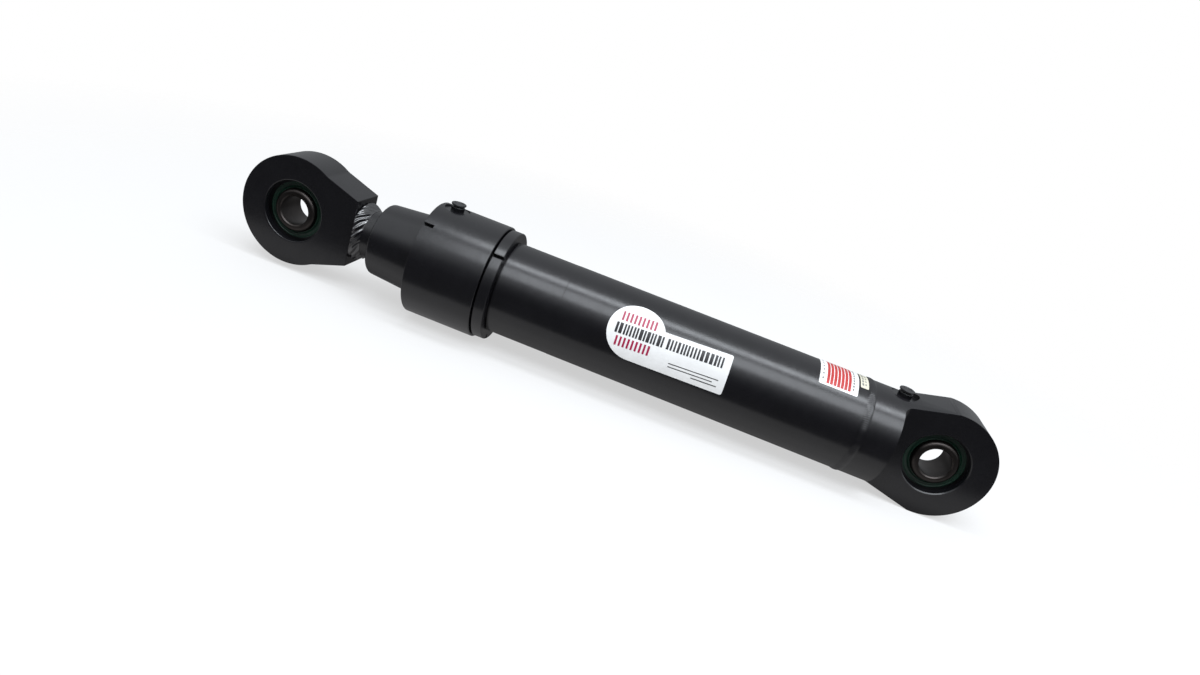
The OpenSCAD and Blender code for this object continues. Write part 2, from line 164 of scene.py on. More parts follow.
def prism(name, outline, axis, low, high):
    """Outline in (x, z) pushed along Y, or in (x, y) pushed along Z."""
    n = len(outline)
    if axis == "y":
        points = [(a, low, b) for a, b in outline] + [(a, high, b) for a, b in outline]
    else:
        points = [(a, b, low) for a, b in outline] + [(a, b, high) for a, b in outline]
    faces = [tuple(range(n)), tuple(range(2 * n - 1, n - 1, -1))]
    faces += [(i, (i + 1) % n, n + (i + 1) % n, n + i) for i in range(n)]
    return mesh_object(name, points, faces)


def block(name, size, place):
    """Box of the given size, put in place by a matrix in millimetres."""
    x, y, z = (s / 2 for s in size)
    corners = [place @ Vector((a * x, b * y, c * z)) for a in (-1, 1) for b in (-1, 1) for c in (-1, 1)]
    faces = [(0, 1, 3, 2), (4, 6, 7, 5), (0, 4, 5, 1), (2, 3, 7, 6), (0, 2, 6, 4), (1, 5, 7, 3)]
    return mesh_object(name, corners, faces)


def bake(obj):
    """Makes the object's modifiers part of its mesh."""
    seen = obj.evaluated_get(bpy.context.evaluated_depsgraph_get())
    old, obj.data = obj.data, bpy.data.meshes.new_from_object(seen)
    obj.modifiers.clear()
    bpy.data.meshes.remove(old)


def combine(obj, other, operation):
    """Cuts, joins or intersects the object with another, which is used up."""
    cut = obj.modifiers.new("combine", "BOOLEAN")
    cut.operation, cut.solver, cut.object = operation, "EXACT", other
    bake(obj)
    bpy.data.objects.remove(other, do_unlink=True)


def bevelled(obj, width, over=35, segments=2):
    """Rounds each edge that is sharper than the given angle."""
    bevel = obj.modifiers.new("bevel", "BEVEL")
    bevel.limit_method, bevel.angle_limit = "ANGLE", math.radians(over)
    bevel.width, bevel.segments = width * MM, segments
    bevel.use_clamp_overlap = True
    bake(obj)


def smooth(obj, sharp=38):
    """Smooth shading that keeps flat faces flat."""
    mesh = obj.data
    mesh.polygons.foreach_set("use_smooth", [True] * len(mesh.polygons))
    mesh.set_sharp_from_angle(angle=math.radians(sharp))
    normals = obj.modifiers.new("normals", "WEIGHTED_NORMAL")
    normals.keep_sharp = True


def settle(obj, body, material, slot, *nodes):
    """Finishes a piece: shading, material, the body it rides on and the CAD it stands for."""
    smooth(obj)
    obj.data.materials.clear()
    obj.data.materials.append(material)
    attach(obj, body)
    if nodes:
        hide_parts(*nodes)
    return obj


# ---- Materials ----

class Nodes:
    """Short way to build a material's node tree on one Principled shader."""

    def __init__(self, name):
        self.material = bpy.data.materials.new(name)
        self.material.use_nodes = True
        self.tree = self.material.node_tree
        self.tree.nodes.clear()
        self.shader = self.tree.nodes.new("ShaderNodeBsdfPrincipled")
        out = self.tree.nodes.new("ShaderNodeOutputMaterial")
        self.tree.links.new(self.shader.outputs["BSDF"], out.inputs["Surface"])
        self.place = self.tree.nodes.new("ShaderNodeTexCoord").outputs["Object"]

    def link(self, source, node, socket):
        self.tree.links.new(source, node.inputs[socket])

    def set(self, **values):
        for socket, value in values.items():
            self.shader.inputs[socket.replace("_", " ")].default_value = value

    def noise(self, scale, detail=3.0, rough=0.5, stretch=(1, 1, 1)):
        """Noise with features about 1/scale metres across."""
        mapping = self.tree.nodes.new("ShaderNodeMapping")
        mapping.inputs["Scale"].default_value = stretch
        self.link(self.place, mapping, "Vector")
        node = self.tree.nodes.new("ShaderNodeTexNoise")
        node.inputs["Scale"].default_value = scale
        node.inputs["Detail"].default_value = detail
        node.inputs["Roughness"].default_value = rough
        self.link(mapping.outputs["Vector"], node, "Vector")
        return node.outputs["Fac"]

    def between(self, factor, low, high, start=0.3, end=0.7):
        """Number from low to high as the factor goes from start to end."""
        node = self.tree.nodes.new("ShaderNodeMapRange")
        for socket, value in (("From Min", start), ("From Max", end), ("To Min", low), ("To Max", high)):
            node.inputs[socket].default_value = value
        self.link(factor, node, "Value")
        return node.outputs["Result"]

    def colours(self, factor, *stops):
        """Colour ramp from (place, colour) stops."""
        node = self.tree.nodes.new("ShaderNodeValToRGB")
        ramp = node.color_ramp
        while len(ramp.elements) < len(stops):
            ramp.elements.new(0.5)
        for element, (place, colour) in zip(ramp.elements, stops):
            element.position, element.color = place, (*colour, 1)
        self.link(factor, node, "Fac")
        return node.outputs["Color"]

    def bump(self, height, distance, strength=1.0, after=None):
        """Bump of the given depth in metres, on top of an earlier one."""
        node = self.tree.nodes.new("ShaderNodeBump")
        node.inputs["Distance"].default_value = distance
        node.inputs["Strength"].default_value = strength
        self.link(height, node, "Height")
        if after is not None:
            self.link(after, node, "Normal")
        return node.outputs["Normal"]

    def use(self, **sources):
        for socket, source in sources.items():
            self.link(source, self.shader, socket.replace("_", " "))
        return self.material


def paint(name, rough=(0.2, 0.27), lumps=0.0, coat=0.0):
    """Semi-gloss black enamel with orange peel and slight mottling; lumps are in metres."""
    n = Nodes(name)
    n.set(Metallic=0.0, IOR=1.5, Coat_Weight=coat, Coat_Roughness=0.1, Coat_IOR=1.9)
    mottle = n.noise(38, 4, 0.6)
    peel = n.bump(n.noise(620, 2, 0.4), 0.00003, 0.5)
    peel = n.bump(n.noise(90, 2, 0.5), 0.00012, 0.5, peel)
    if lumps:
        peel = n.bump(n.noise(260, 3, 0.6), lumps, 0.8, peel)
    return n.use(
        Base_Color=n.colours(mottle, (0.3, PAINT_DARK), (0.72, PAINT_LIGHT)),
        Roughness=n.between(n.noise(140, 5, 0.65), *rough),
        Normal=peel,
    )


def rubber(name, dark, light, rough=(0.42, 0.6)):
    """Moulded rubber or polyurethane, slightly uneven and dusty."""
    n = Nodes(name)
    n.set(Metallic=0.0, IOR=1.5)
    return n.use(
        Base_Color=n.colours(n.noise(210, 4, 0.6), (0.3, dark), (0.75, light)),
        Roughness=n.between(n.noise(480, 3), *rough),
        Normal=n.bump(n.noise(1500, 2), 0.00002, 0.6),
    )


def metal(name, dark, light, rough=(0.25, 0.4), lines=(1, 1, 1), line_scale=900, depth=0.00001):
    """Machined metal; lines stretches the tool marks along an axis."""
    n = Nodes(name)
    n.set(Metallic=1.0)
    marks = n.noise(line_scale, 4, 0.7, lines)
    return n.use(
        Base_Color=n.colours(n.noise(60, 4, 0.6), (0.3, dark), (0.75, light)),
        Roughness=n.between(marks, *rough),
        Normal=n.bump(marks, depth, 0.5),
    )


def plastic(name, dark, light, rough=(0.3, 0.45)):
    """Moulded plastic with a fine grain."""
    n = Nodes(name)
    n.set(Metallic=0.0, IOR=1.46)
    return n.use(
        Base_Color=n.colours(n.noise(120, 3), (0.3, dark), (0.75, light)),
        Roughness=n.between(n.noise(700, 3), *rough),
        Normal=n.bump(n.noise(2200, 2), 0.00001, 0.5),
    )


def rod_surface():
    """Hard chrome, painted black over the short end that never enters the head."""
    n = Nodes("rod_chrome")
    split = n.tree.nodes.new("ShaderNodeSeparateXYZ")
    n.link(n.place, split, "Vector")
    edge = n.tree.nodes.new("ShaderNodeMath")
    edge.operation = "MULTIPLY_ADD"
    n.link(n.noise(170, 3, 0.6), edge, 0)
    edge.inputs[1].default_value = 0.0012
    n.link(split.outputs["X"], edge, 2)
    painted_to, bare_from = -0.5915, -0.5912
    bare = n.between(edge.outputs[0], 0.0, 1.0, painted_to, bare_from)
    rings = n.noise(300, 4, 0.6, (14, 1, 1))
    painted = n.colours(n.noise(38, 4, 0.6), (0.3, PAINT_DARK), (0.72, PAINT_LIGHT))
    chrome = n.colours(n.noise(50, 3), (0.3, (0.60, 0.61, 0.63)), (0.75, (0.68, 0.69, 0.71)))
    mix = n.tree.nodes.new("ShaderNodeMix")
    mix.data_type = "RGBA"
    n.link(bare, mix, "Factor")
    n.link(painted, mix, 6)
    n.link(chrome, mix, 7)
    gloss = n.tree.nodes.new("ShaderNodeMapRange")
    n.link(bare, gloss, "Value")
    gloss.inputs["To Min"].default_value = 0.24
    n.link(n.between(rings, 0.07, 0.13), gloss, "To Max")
    return n.use(
        Base_Color=mix.outputs[2],
        Metallic=bare,
        Roughness=gloss.outputs["Result"],
        Normal=n.bump(rings, 0.000004, 0.5),
    )


def vinyl(name, base, shade):
    """Printed vinyl with a faint grain and slight waves."""
    n = Nodes(name)
    n.set(Metallic=0.0, IOR=1.46, Coat_Weight=0.1, Coat_Roughness=0.2)
    return n.use(
        Base_Color=n.colours(n.noise(90, 3), (0.3, shade), (0.7, base)),
        Roughness=n.between(n.noise(500, 3), 0.32, 0.44),
        Normal=n.bump(n.noise(70, 2), 0.00006, 0.4),
    )


BLACK = paint("black_paint")
SEAM_PAINT = paint("seam_paint", rough=(0.15, 0.22), lumps=0.00012)
WELD_PAINT = paint("weld_paint", rough=(0.13, 0.2), lumps=0.00012, coat=0.6)
GREEN = rubber("green_seal", (0.0012, 0.014, 0.0075), (0.0020, 0.023, 0.0120), (0.34, 0.5))
RUBBER = rubber("black_rubber", (0.010, 0.010, 0.010), (0.018, 0.018, 0.018))
BLUE = rubber("blue_seal", (0.02, 0.09, 0.28), (0.03, 0.12, 0.35))
BUFFER = plastic("buffer_seal", (0.42, 0.30, 0.08), (0.55, 0.40, 0.11))
PTFE = plastic("ptfe", (0.58, 0.56, 0.50), (0.70, 0.68, 0.61))
PHENOLIC = plastic("wear_ring", (0.18, 0.085, 0.045), (0.27, 0.13, 0.07))
PLUG = plastic("plug_plastic", (0.010, 0.010, 0.011), (0.017, 0.017, 0.019), (0.28, 0.42))
RACE = metal("bearing_steel", (0.10, 0.10, 0.10), (0.16, 0.16, 0.16), (0.35, 0.5))
BUSHING = metal("bushing_steel", (0.036, 0.032, 0.031), (0.060, 0.053, 0.050), (0.30, 0.44), (1, 6, 1))
SPRING = metal("spring_steel", (0.030, 0.030, 0.032), (0.055, 0.055, 0.058), (0.3, 0.45))
TURNED = metal("machined_steel", (0.34, 0.35, 0.36), (0.44, 0.45, 0.46), (0.2, 0.34), (12, 1, 1), 300)
BRONZE = metal("bronze", (0.38, 0.26, 0.13), (0.50, 0.36, 0.18), (0.22, 0.36), (12, 1, 1), 300)
CHROME = rod_surface()
LABEL_WHITE = vinyl("label_white", (0.74, 0.74, 0.735), (0.69, 0.69, 0.685))
LABEL_CREAM = vinyl("label_cream", (0.62, 0.60, 0.48), (0.55, 0.53, 0.42))
INK_DARK = vinyl("ink_dark", (0.020, 0.020, 0.022), (0.014, 0.014, 0.016))
INK_CRIMSON = vinyl("ink_crimson", (0.34, 0.010, 0.060), (0.30, 0.008, 0.050))
INK_RED = vinyl("ink_red", (0.42, 0.028, 0.026), (0.37, 0.022, 0.021))
INK_GREY = vinyl("ink_grey", (0.20, 0.20, 0.19), (0.16, 0.16, 0.15))

SLOT_MATERIALS = {
    "black_paint": BLACK, "rod_chrome": CHROME, "bearing_steel": RACE, "bushing_steel": BUSHING,
    "spring_steel": SPRING, "machined_steel": TURNED, "bronze": BRONZE, "green_seal": GREEN,
    "black_rubber": RUBBER, "blue_seal": BLUE, "buffer_seal": BUFFER, "ptfe": PTFE,
    "wear_ring": PHENOLIC, "plug_plastic": PLUG, "label_white": LABEL_WHITE, "label_cream": LABEL_CREAM,
}
for part in frame["record"]["subparts"]:
    node = frame["nodes"][part["node"]]
    node.data.materials.clear()
    node.data.materials.append(SLOT_MATERIALS[part["material_slot"]])


# ---- Barrel ----

def barrel_tube():
    outline = [
        (-508, BORE_R), (-508, THREAD_R - 1), (-507, THREAD_R), (-454, THREAD_R), (-453.5, 45), (-452, 45),
        (-451.5, 47.35), (-388, 47.35), (-387.5, BARREL_R), (-87, BARREL_R), (-84.5, 41), (-84.5, BORE_R),
    ]
    tube = lathe("barrel_tube_skin", rounded(outline, [0] * 6 + [0.3, 0.1, 0.1, 0.3, 0, 0]), segments=224)
    settle(tube, "barrel", BLACK, "black_paint", "barrel_tube")


def base_weld():
    """Low bead with fine ripples, between the tube and the cap."""
    steps = 10

    def ripple(along, radius, angle):
        across = (along + 83) / 4
        if radius < BARREL_R - 0.01 or abs(across) > 1:
            return radius
        wave = math.sin(150 * angle + 2.2 * across * across)
        return radius + (0.10 * wave + 0.10 * math.sin(23 * angle + 1)) * (1 - across * across)

    crown = [(-87 + 8 * i / steps, BARREL_R + 0.7 * (1 - (2 * i / steps - 1) ** 2)) for i in range(steps + 1)]
    bead = lathe("base_weld_bead", [(-81.5, 41), (-84.5, 41)] + crown, segments=900, shape=ripple)
    settle(bead, "barrel", SEAM_PAINT, "black_paint", "base_weld")


def base_cap():
    flare, lean = 0.24, math.radians(7.5)
    body = lathe("base_cap_body", [
        (-92, 0), (-92, BORE_R), (-81.5, BORE_R), (-81.5, 41), (-79, BARREL_R),
        (-50, BARREL_R), (57, BARREL_R + 107 * flare), (57, 0),
    ], segments=176)
    first = math.pi / 2 + lean
    around = [first - 2 * first * i / 110 for i in range(111)]
    side = [(BASE_EYE_R * math.cos(a), BASE_EYE_R * math.sin(a)) for a in around]
    low = side[0][1] - (side[0][0] + 50) * math.tan(lean)
    side += [(-50, -low), (-50, -80), (-94, -80), (-94, 80), (-50, 80), (-50, low)]
    combine(body, prism("side", side, "y", -90, 90), "INTERSECT")
    half = BASE_EYE_HALF
    corner = [
        (-44 + 6 * math.cos(math.radians(a)), half + 6 + 6 * math.sin(math.radians(a)))
        for a in range(180, 271, 10)
    ]
    upper = [(-50, 90)] + corner + [(58, half)]
    plan = [(-95, -90), (-95, 90)] + upper + [(x, -y) for x, y in reversed(upper)]
    combine(body, prism("plan", plan, "z", -90, 90), "INTERSECT")
    combine(body, eye_cutter(0, half), "DIFFERENCE")
    combine(body, spot_cutter(BASE_PORT_X, BASE_SPOT_Z, 16), "DIFFERENCE")
    bevelled(body, 0.7)
    settle(body, "barrel", BLACK, "black_paint", "base_cap")


def eye_cutter(x, half):
    """Bore of an eye with its bevelled mouths and the two snap ring grooves."""
    side = [
        (12, RACE_R), (12, RACE_R + 1.5), (13.3, RACE_R + 1.5), (13.3, RACE_R),
        (half - 1.0, RACE_R), (half + 1, RACE_R + 2.0),
    ]
    outline = [(half + 1, 0), (-half - 1, 0)] + [(-a, r) for a, r in reversed(side)] + side
    return lathe("eye_bore", outline, "y", (x, 0, 0), segments=144)


def spot_cutter(x, spot_z, depth):
    """Threaded hole of a port with the flat spot around it."""
    outline = [(-depth, 0), (-depth, 6.5), (0, 6.5), (0, 13), (20, 13), (20, 0)]
    return lathe("port_hole", outline, "z", (x, 0, spot_z), segments=72)


def slot_cutters(obj, low, high, outer, first):
    """Three spanner slots, 4 mm wide and deep, a third of a turn apart."""
    for i in range(3):
        turn = Matrix.Rotation(math.radians(-first - 120 * i), 4, "X")
        place = turn @ Matrix.Translation(((low + high) / 2, -outer + 0.5, 0))
        combine(obj, block("slot", (high - low, 9, 4), place), "DIFFERENCE")


def head():
    outline = [
        (-590, 30), (-590, 37.5), (-538, 42), (-538, COLLAR_R), (-465.2, COLLAR_R), (-465.2, THREAD_R),
        (-508, THREAD_R), (-508, BORE_R), (-500.5, BORE_R), (-500.5, 36.5), (-494.5, 36.5), (-494.5, BORE_R),
        (-491.5, BORE_R), (-491.5, 31), (-533, 31), (-533, 28), (-557, 28), (-557, 25.4),
        (-560, 25.4), (-560, 30), (-566, 30), (-566, 25.4), (-569, 25.4), (-569, 30),
        (-579, 30), (-579, 25.4), (-583, 25.4), (-583, 30),
    ]
    radii = [0.4, 4, 1.2, 1.1, 1.2] + [0.2] * 23
    body = lathe("head_body", rounded(outline, radii, 4), segments=208)
    combine(body, spot_cutter(HEAD_PORT_X, HEAD_SPOT_Z, 14), "DIFFERENCE")
    slot_cutters(body, -542, -527, COLLAR_R, 49.5)
    bevelled(body, 0.45)
    settle(body, "barrel", BLACK, "black_paint", "head")


def lock_ring():
    outline = [(-464, THREAD_R), (-464, LOCK_R), (-453, LOCK_R), (-453, THREAD_R)]
    ring = lathe("lock_ring_body", rounded(outline, [0.3, 1.1, 0.8, 0.3], 4), segments=208)
    slot_cutters(ring, -468, -449, LOCK_R, 46)
    bevelled(ring, 0.4)
    settle(ring, "barrel", BLACK, "black_paint", "lock_ring")


def wiper():
    outline = [
        (-590, 30), (-583, 30), (-583, 26.5), (-586, 26.5), (-589, 25.05),
        (-591.2, 25.05), (-591.2, 26), (-590, 27.2),
    ]
    ring = lathe("rod_wiper_lip", rounded(outline, 0.35), segments=128)
    settle(ring, "barrel", RUBBER, "black_rubber", "rod_wiper")


def port_plug(name, node, x, spot_z):
    """Moulded shipping plug: shank, painted body, neck and a knurled cap with a shallow dish."""
    outline = [
        (-10, 0), (-10, 6.5), (0, 6.5), (0, 6.75), (4.2, 6.75), (4.2, 5.2), (5.8, 5.2), (5.8, 7.5),
        (7.5, 7.5), (7.5, 4.6), (7.0, 4.2), (7.0, 0),
    ]
    radii = [0, 0.6, 0, 0.3, 0.6, 0.3, 0.3, 0.4, 0.9, 0.3, 0.2, 0]

    def ribs(along, radius, angle):
        if radius < 7.3:
            return radius
        return radius - 0.15 * (0.5 + 0.5 * math.cos(36 * angle))

    plug = lathe(name, rounded(outline, radii, 4), "z", (x, 0, spot_z), 288, ribs)
    settle(plug, "barrel", PLUG, "plug_plastic", node)
    plug.data.materials.append(BLACK)
    painted_to = spot_z + 4.3
    for face in plug.data.polygons:
        face.material_index = int(face.center.z < painted_to * MM)


# ---- Labels ----

def wrapped(name, outlines, x, angle, tilt, low, high, material, slot, *nodes):
    """Flat outlines, (along, up around) in millimetres, wrapped on the barrel as thin sheets.

    Each is cut into narrow strips first, so that it follows the curve.
    """
    strip = 1.5
    c, s = math.cos(math.radians(tilt)), math.sin(math.radians(tilt))
    work = bmesh.new()
    for outline in outlines:
        flat = bmesh.new()
        flat.faces.new([flat.verts.new((u, v, 0)) for u, v in outline])
        least, most = min(v for _, v in outline), max(v for _, v in outline)
        cut = math.ceil(least / strip) * strip
        while cut < most:
            parts = flat.verts[:] + flat.edges[:] + flat.faces[:]
            bmesh.ops.bisect_plane(flat, geom=parts, plane_co=(0, cut, 0), plane_no=(0, 1, 0))
            cut += strip
        bmesh.ops.solidify(flat, geom=flat.faces[:], thickness=high - low)
        least_z = min(v.co.z for v in flat.verts)
        for vert in flat.verts:
            u, v = vert.co.x * c - vert.co.y * s, vert.co.x * s + vert.co.y * c
            a, r = math.radians(angle) + v / BARREL_R, BARREL_R + low + vert.co.z - least_z
            vert.co = Vector(((x + u), -r * math.cos(a), r * math.sin(a))) * MM
        piece = bpy.data.meshes.new("flat")
        flat.to_mesh(piece)
        flat.free()
        work.from_mesh(piece)
        bpy.data.meshes.remove(piece)
    bmesh.ops.recalc_face_normals(work, faces=work.faces)
    mesh = bpy.data.meshes.new(name)
    work.to_mesh(mesh)
    work.free()
    obj = bpy.data.objects.new(name, mesh)
    bpy.context.scene.collection.objects.link(obj)
    return settle(obj, "barrel", material, slot, *nodes)


def quarter(u, v, radius, first):
    """Quarter circle about (u, v), anticlockwise from an angle in degrees."""
    angles = [math.radians(first + 22.5 * k) for k in range(5)]
    return [(u + radius * math.cos(a), v + radius * math.sin(a)) for a in angles]


def rectangle(u, v, width, height, corner=0.0):
    """Outline from its lower left corner, with square or rounded corners."""
    if corner <= 0:
        return [(u, v), (u + width, v), (u + width, v + height), (u, v + height)]
    left, right = u + corner, u + width - corner
    low, high = v + corner, v + height - corner
    return (
        quarter(left, low, corner, 180) + quarter(right, low, corner, 270)
        + quarter(right, high, corner, 0) + quarter(left, high, corner, 90)
    )


def main_label_outline():
    """A disc that runs into a panel, as one outline."""
    disc, low, high, right, corner = 28.0, -30.0, 10.0, 94.0, 2.0
    start = math.asin(high / disc)
    reach = math.hypot(right - corner, low)
    tangent = math.tau + math.atan2(low, right - corner) - math.acos(disc / reach)
    arc = [start + (tangent - start) * i / 60 for i in range(61)]
    out = [(disc * math.cos(a), disc * math.sin(a)) for a in arc]
    out += quarter(right - corner, low + corner, corner, 270)
    return out + quarter(right - corner, high - corner, corner, 0)


def labels():
    """Plain white and cream labels; bars stand in for their print.

    A place is the middle along the cylinder, degrees up from the front, and tilt in degrees.
    """
    place = (-310, 26.5, 2.5)
    wrapped(
        "label_main_sheet", [main_label_outline()], *place, *SHEET,
        LABEL_WHITE, "label_white", "label_main",
    )
    stripes = []
    for u in range(-16, 17, 4):
        stripes += [rectangle(u - 1, 7.6, 2, 9.4), rectangle(u - 1, -17, 2, 9.4)]
    wrapped("label_main_stripes", stripes, *place, 0.2, 0.25, INK_CRIMSON, "label_white")
    chance = random.Random(7)
    bars, u = [], -20.0
    while u < 86:
        if not 27 < u < 31:
            bars.append(rectangle(u, -5.2, chance.choice((1.8, 1.8, 2.4, 3.2)), 10.4))
            u = bars[-1][1][0]
        u += chance.choice((1.1, 1.3, 1.5))
    lines = (38, -17.6, 49), (38, -20.8, 44), (62, -24.0, 25)
    bars += [rectangle(start, v, length, 0.9) for start, v, length in lines]
    wrapped("label_main_bars", bars, *place, 0.2, 0.29, INK_DARK, "label_white")

    place = (-116, 88, 0)
    wrapped(
        "label_striped_sheet", [rectangle(-19, -30, 38, 60, 1.5)], *place, *SHEET,
        LABEL_WHITE, "label_white", "label_striped",
    )
    bars = [rectangle(-12 + 3.5 * i, -27.5, 2.7, 55) for i in range(7)]
    wrapped("label_striped_bars", bars, *place, 0.2, 0.27, INK_RED, "label_white")
    ticks = [rectangle(-16.5, -24 + 6 * i, 1.4, 2.4) for i in range(9)]
    ticks += [rectangle(13.4, -25 + 4 * i, 1.6, 2.6) for i in range(13)]
    wrapped("label_striped_ticks", ticks, *place, 0.2, 0.27, INK_GREY, "label_white")

    place = (-91.2, 88, 0)
    wrapped(
        "label_small_sheet", [rectangle(-4, -16.5, 8, 33, 0.8)], *place, *SHEET,
        LABEL_CREAM, "label_cream", "label_small",
    )
    bars = [rectangle(-2.6, -13 + 5.2 * i, 1.8, 3.4) for i in range(6)]
    bars += [rectangle(0.4, -12 + 5.2 * i, 1.4, 2.4) for i in range(5)]
    wrapped("label_small_bars", bars, *place, 0.2, 0.27, INK_GREY, "label_cream")


# ---- Rod end ----

def rod():
    outline = [
        (ROD_EYE_END, 0), (ROD_EYE_END, 17), (ROD_EYE_END + 8, ROD_R),
        (-171, ROD_R), (-171, 18), (-94, 18), (-94, 0),
    ]
    bar = lathe("rod_bar", rounded(outline, [0, 0, 0, 0.6, 0.2, 1.5, 0]), segments=160)
    settle(bar, "piston_rod", CHROME, "rod_chrome", "rod")


def rod_eye():
    lean, end_x, end_z, fillet = math.radians(19), 66.0, 35.0, 20.0
    normal = Vector((math.sin(lean), math.cos(lean)))
    along = Vector((math.cos(lean), -math.sin(lean)))
    off = normal.dot((end_x, end_z)) + fillet
    middle = normal * off + along * math.sqrt((ROD_EYE_R + fillet) ** 2 - off ** 2)
    first = math.atan2(middle.y, middle.x)
    around = [first + (2 * math.pi - 2 * first) * i / 120 for i in range(121)]
    side = [(ROD_EYE_R * math.cos(a), ROD_EYE_R * math.sin(a)) for a in around]
    start = math.atan2(-middle.y, -middle.x)
    stop = -math.pi / 2 - lean
    neck = [start + (stop - start) * i / 8 for i in range(1, 9)]
    neck = [(middle.x + fillet * math.cos(a), middle.y + fillet * math.sin(a)) for a in neck]
    side += [(x, -z) for x, z in neck] + [(end_x, -end_z), (end_x, end_z)] + neck[::-1]
    side = [(ROD_PIN_X + x, z) for x, z in side]
    body = prism("rod_eye_body", side, "y", -ROD_EYE_HALF, ROD_EYE_HALF)
    combine(body, eye_cutter(ROD_PIN_X, ROD_EYE_HALF), "DIFFERENCE")
    bevelled(body, 0.8)
    settle(body, "piston_rod", BLACK, "black_paint", "rod_eye")


def rod_eye_weld():
    """Heavy bead between the eye's end face and the rod, narrowed to the eye's thickness."""
    length, steps = 12.0, 22

    def bead(along, radius, angle):
        u = (along - ROD_EYE_END) / length
        if radius < ROD_R + 0.2:
            return radius
        slow = math.sin(7 * angle + 0.6) + 0.6 * math.sin(13 * angle + 2.1)
        pass_wave = math.sin(22 * angle - 13 * u + 0.6 * slow)
        r = radius + math.sin(math.pi * u) ** 0.7 * (0.8 * pass_wave + 0.2 * slow)
        side = abs(math.cos(angle))
        width = ROD_EYE_HALF + 15 * max(0.0, along - ROD_EYE_END) / 7
        if side * r > width:
            r = max(width / side, 17.5)
        return r

    outer = []
    for i in range(steps + 1):
        u = i / steps
        toe = 1.6 * math.exp(-12 * u)
        crown = 25.3 + 5.5 * (1 - u) ** 1.1 + 1.1 * math.sin(math.pi * u)
        outer.append((ROD_EYE_END + length * u, crown - toe))
    outline = [(ROD_EYE_END, 17)] + outer + [(ROD_EYE_END + length, ROD_R), (ROD_EYE_END + 8, ROD_R)]
    weld = lathe("rod_eye_weld_bead", outline, segments=520, shape=bead)
    settle(weld, "piston_rod", WELD_PAINT, "black_paint", "rod_eye_weld")


# ---- Eye bearings ----

def bearing(prefix, x, barrel_side, ring_body, names):
    """Inner ring and the two dust seals of one eye."""
    ball_half = math.sqrt(BALL_R ** 2 - 22.4 ** 2)
    ball = []
    for i in range(1, 24):
        y = ball_half * (2 * i / 24 - 1)
        ball.append((y, math.sqrt(BALL_R ** 2 - y * y)))
    nose = [math.radians(180 - 11.25 * i) for i in range(9)]
    left = [(-18.5, PIN_R + 1)] + [(-14 + 4.5 * math.cos(a), 17.9 + 4.5 * math.sin(a)) for a in nose]
    outline = left + ball + [(-a, r) for a, r in reversed(left)] + [(17.5, PIN_R), (-17.5, PIN_R)]
    ring = lathe(prefix + "inner_ring", outline, "y", (x, 0, 0), 160)
    settle(ring, ring_body, BUSHING, "bushing_steel", names[0])
    seal = [
        (8, 31), (8, 24.8), (11.6, 23.3), (12.3, 22.45), (12.9, 22.45), (12.9, 23.2),
        (11.4, 24.8), (11.4, 27.4), (12, 28), (12, 31),
    ]
    for side, node in ((-1, names[1]), (1, names[2])):
        outline = rounded([(side * a, r) for a, r in seal], 0.3)
        piece = lathe(node + "_moulded", outline, "y", (x, 0, 0), 144)
        settle(piece, barrel_side, GREEN, "green_seal", node)


# ---- The object ----

barrel_tube()
base_weld()
base_cap()
head()
lock_ring()
wiper()
port_plug("head_port_plug_moulded", "head_port_plug", HEAD_PORT_X, HEAD_SPOT_Z)
port_plug("base_port_plug_moulded", "base_port_plug", BASE_PORT_X, BASE_SPOT_Z)
labels()
rod()
rod_eye()
rod_eye_weld()
bearing(
    "base_", 0, "barrel", "base_inner_ring",
    ("base_bushing", "base_dust_seal_front", "base_dust_seal_rear"),
)
bearing(
    "rod_", ROD_PIN_X, "piston_rod", "rod_inner_ring",
    ("rod_eye_bushing", "rod_eye_dust_seal_front", "rod_eye_dust_seal_rear"),
)


# ---- Studio, in metres ----

def floor():
    """Pale floor that fades out at its rim. Gloss takes its reflection from the table and the world."""
    mesh = bpy.data.meshes.new("floor")
    rim = [(-0.34 + 1.1 * math.cos(math.pi * i / 48), 1.1 * math.sin(math.pi * i / 48)) for i in range(96)]
    mesh.from_pydata([(x, y, -0.0552 + FLOOR_SLOPE * x) for x, y in rim], [], [tuple(range(96))])
    obj = bpy.data.objects.new("floor", mesh)
    bpy.context.scene.collection.objects.link(obj)
    n = Nodes("floor_pale")
    n.set(Roughness=0.9, Metallic=0.0, Specular_IOR_Level=0.0, Emission_Strength=0.58)
    n.set(Emission_Color=(1, 1, 1, 1))
    greys = (0.3, (0.26, 0.26, 0.26)), (0.7, (0.265, 0.265, 0.265))
    mesh.materials.append(n.use(Base_Color=n.colours(n.noise(3, 2), *greys)))
    middle = n.tree.nodes.new("ShaderNodeVectorMath")
    middle.operation = "DISTANCE"
    middle.inputs[1].default_value = (-0.34, 0, -0.058)
    n.link(n.place, middle, 0)
    clear, fade = n.tree.nodes.new("ShaderNodeBsdfTransparent"), n.tree.nodes.new("ShaderNodeMixShader")
    n.link(n.between(middle.outputs["Value"], 0.0, 1.0, 0.55, 1.0), fade, 0)
    n.link(n.shader.outputs["BSDF"], fade, 1)
    n.link(clear.outputs["BSDF"], fade, 2)
    n.link(fade.outputs[0], n.tree.nodes["Material Output"], "Surface")
    obj.visible_glossy = False


